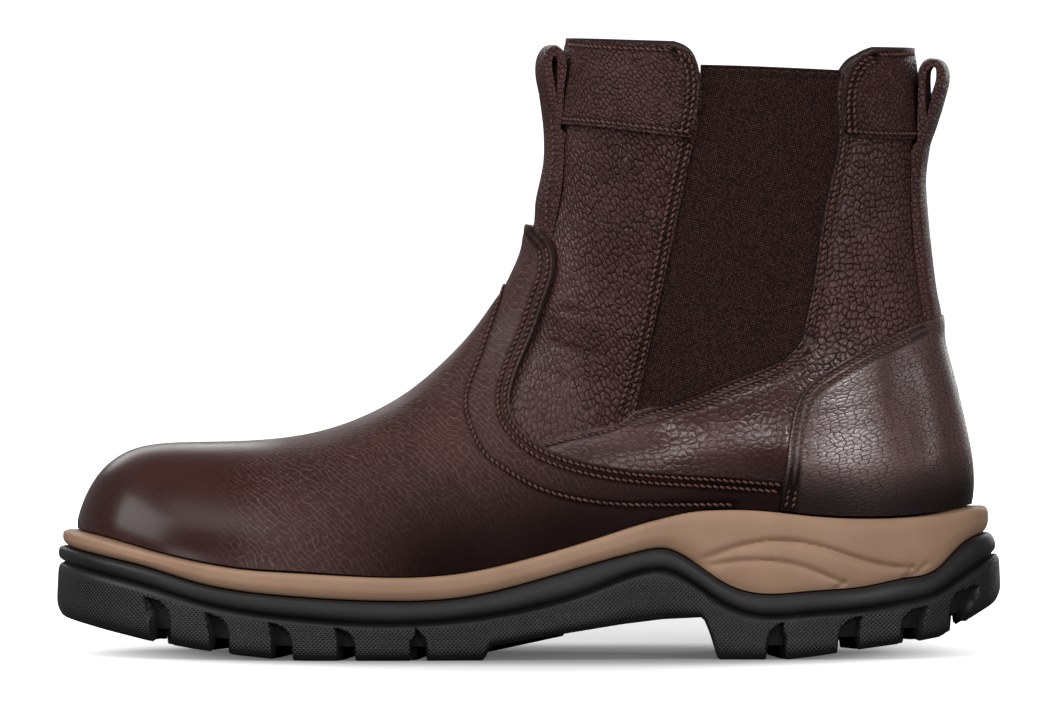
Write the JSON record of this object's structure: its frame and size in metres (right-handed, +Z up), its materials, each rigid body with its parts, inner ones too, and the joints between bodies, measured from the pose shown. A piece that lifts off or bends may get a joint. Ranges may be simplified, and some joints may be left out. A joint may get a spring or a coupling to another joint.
{
  "type": "safety boot",
  "caption": "Pull-on leather safety boot for the left foot, with elastic side gores, looped pull straps front and back, a foam midsole and a lugged rubber outsole.",
  "frame": {"origin": "on the floor under the middle of the boot's box", "axes": "+X from toe to heel, +Y to the inner side of the foot, +Z up"},
  "size_m": [0.305, 0.1152, 0.1994],
  "materials": {
    "leather_brown": "dark reddish brown tumbled leather with a soft sheen",
    "gore_elastic": "knitted elastic, matte",
    "foam_tan": "moulded polyurethane foam, matte",
    "rubber_black": "moulded rubber, semi-matte",
    "footbed_fabric": "brushed lining, matte"
  },
  "bodies": {
    "root": {"outsole": "rubber_black", "midsole": "foam_tan", "insole": "footbed_fabric", "upper": "leather_brown", "vamp": "leather_brown", "heel_counter": "leather_brown", "collar_band_front": "leather_brown", "collar_band_back": "leather_brown", "gore_lateral": "gore_elastic", "gore_medial": "gore_elastic", "pull_strap_front": "leather_brown", "pull_strap_back": "leather_brown"}
  },
  "joints": []
}
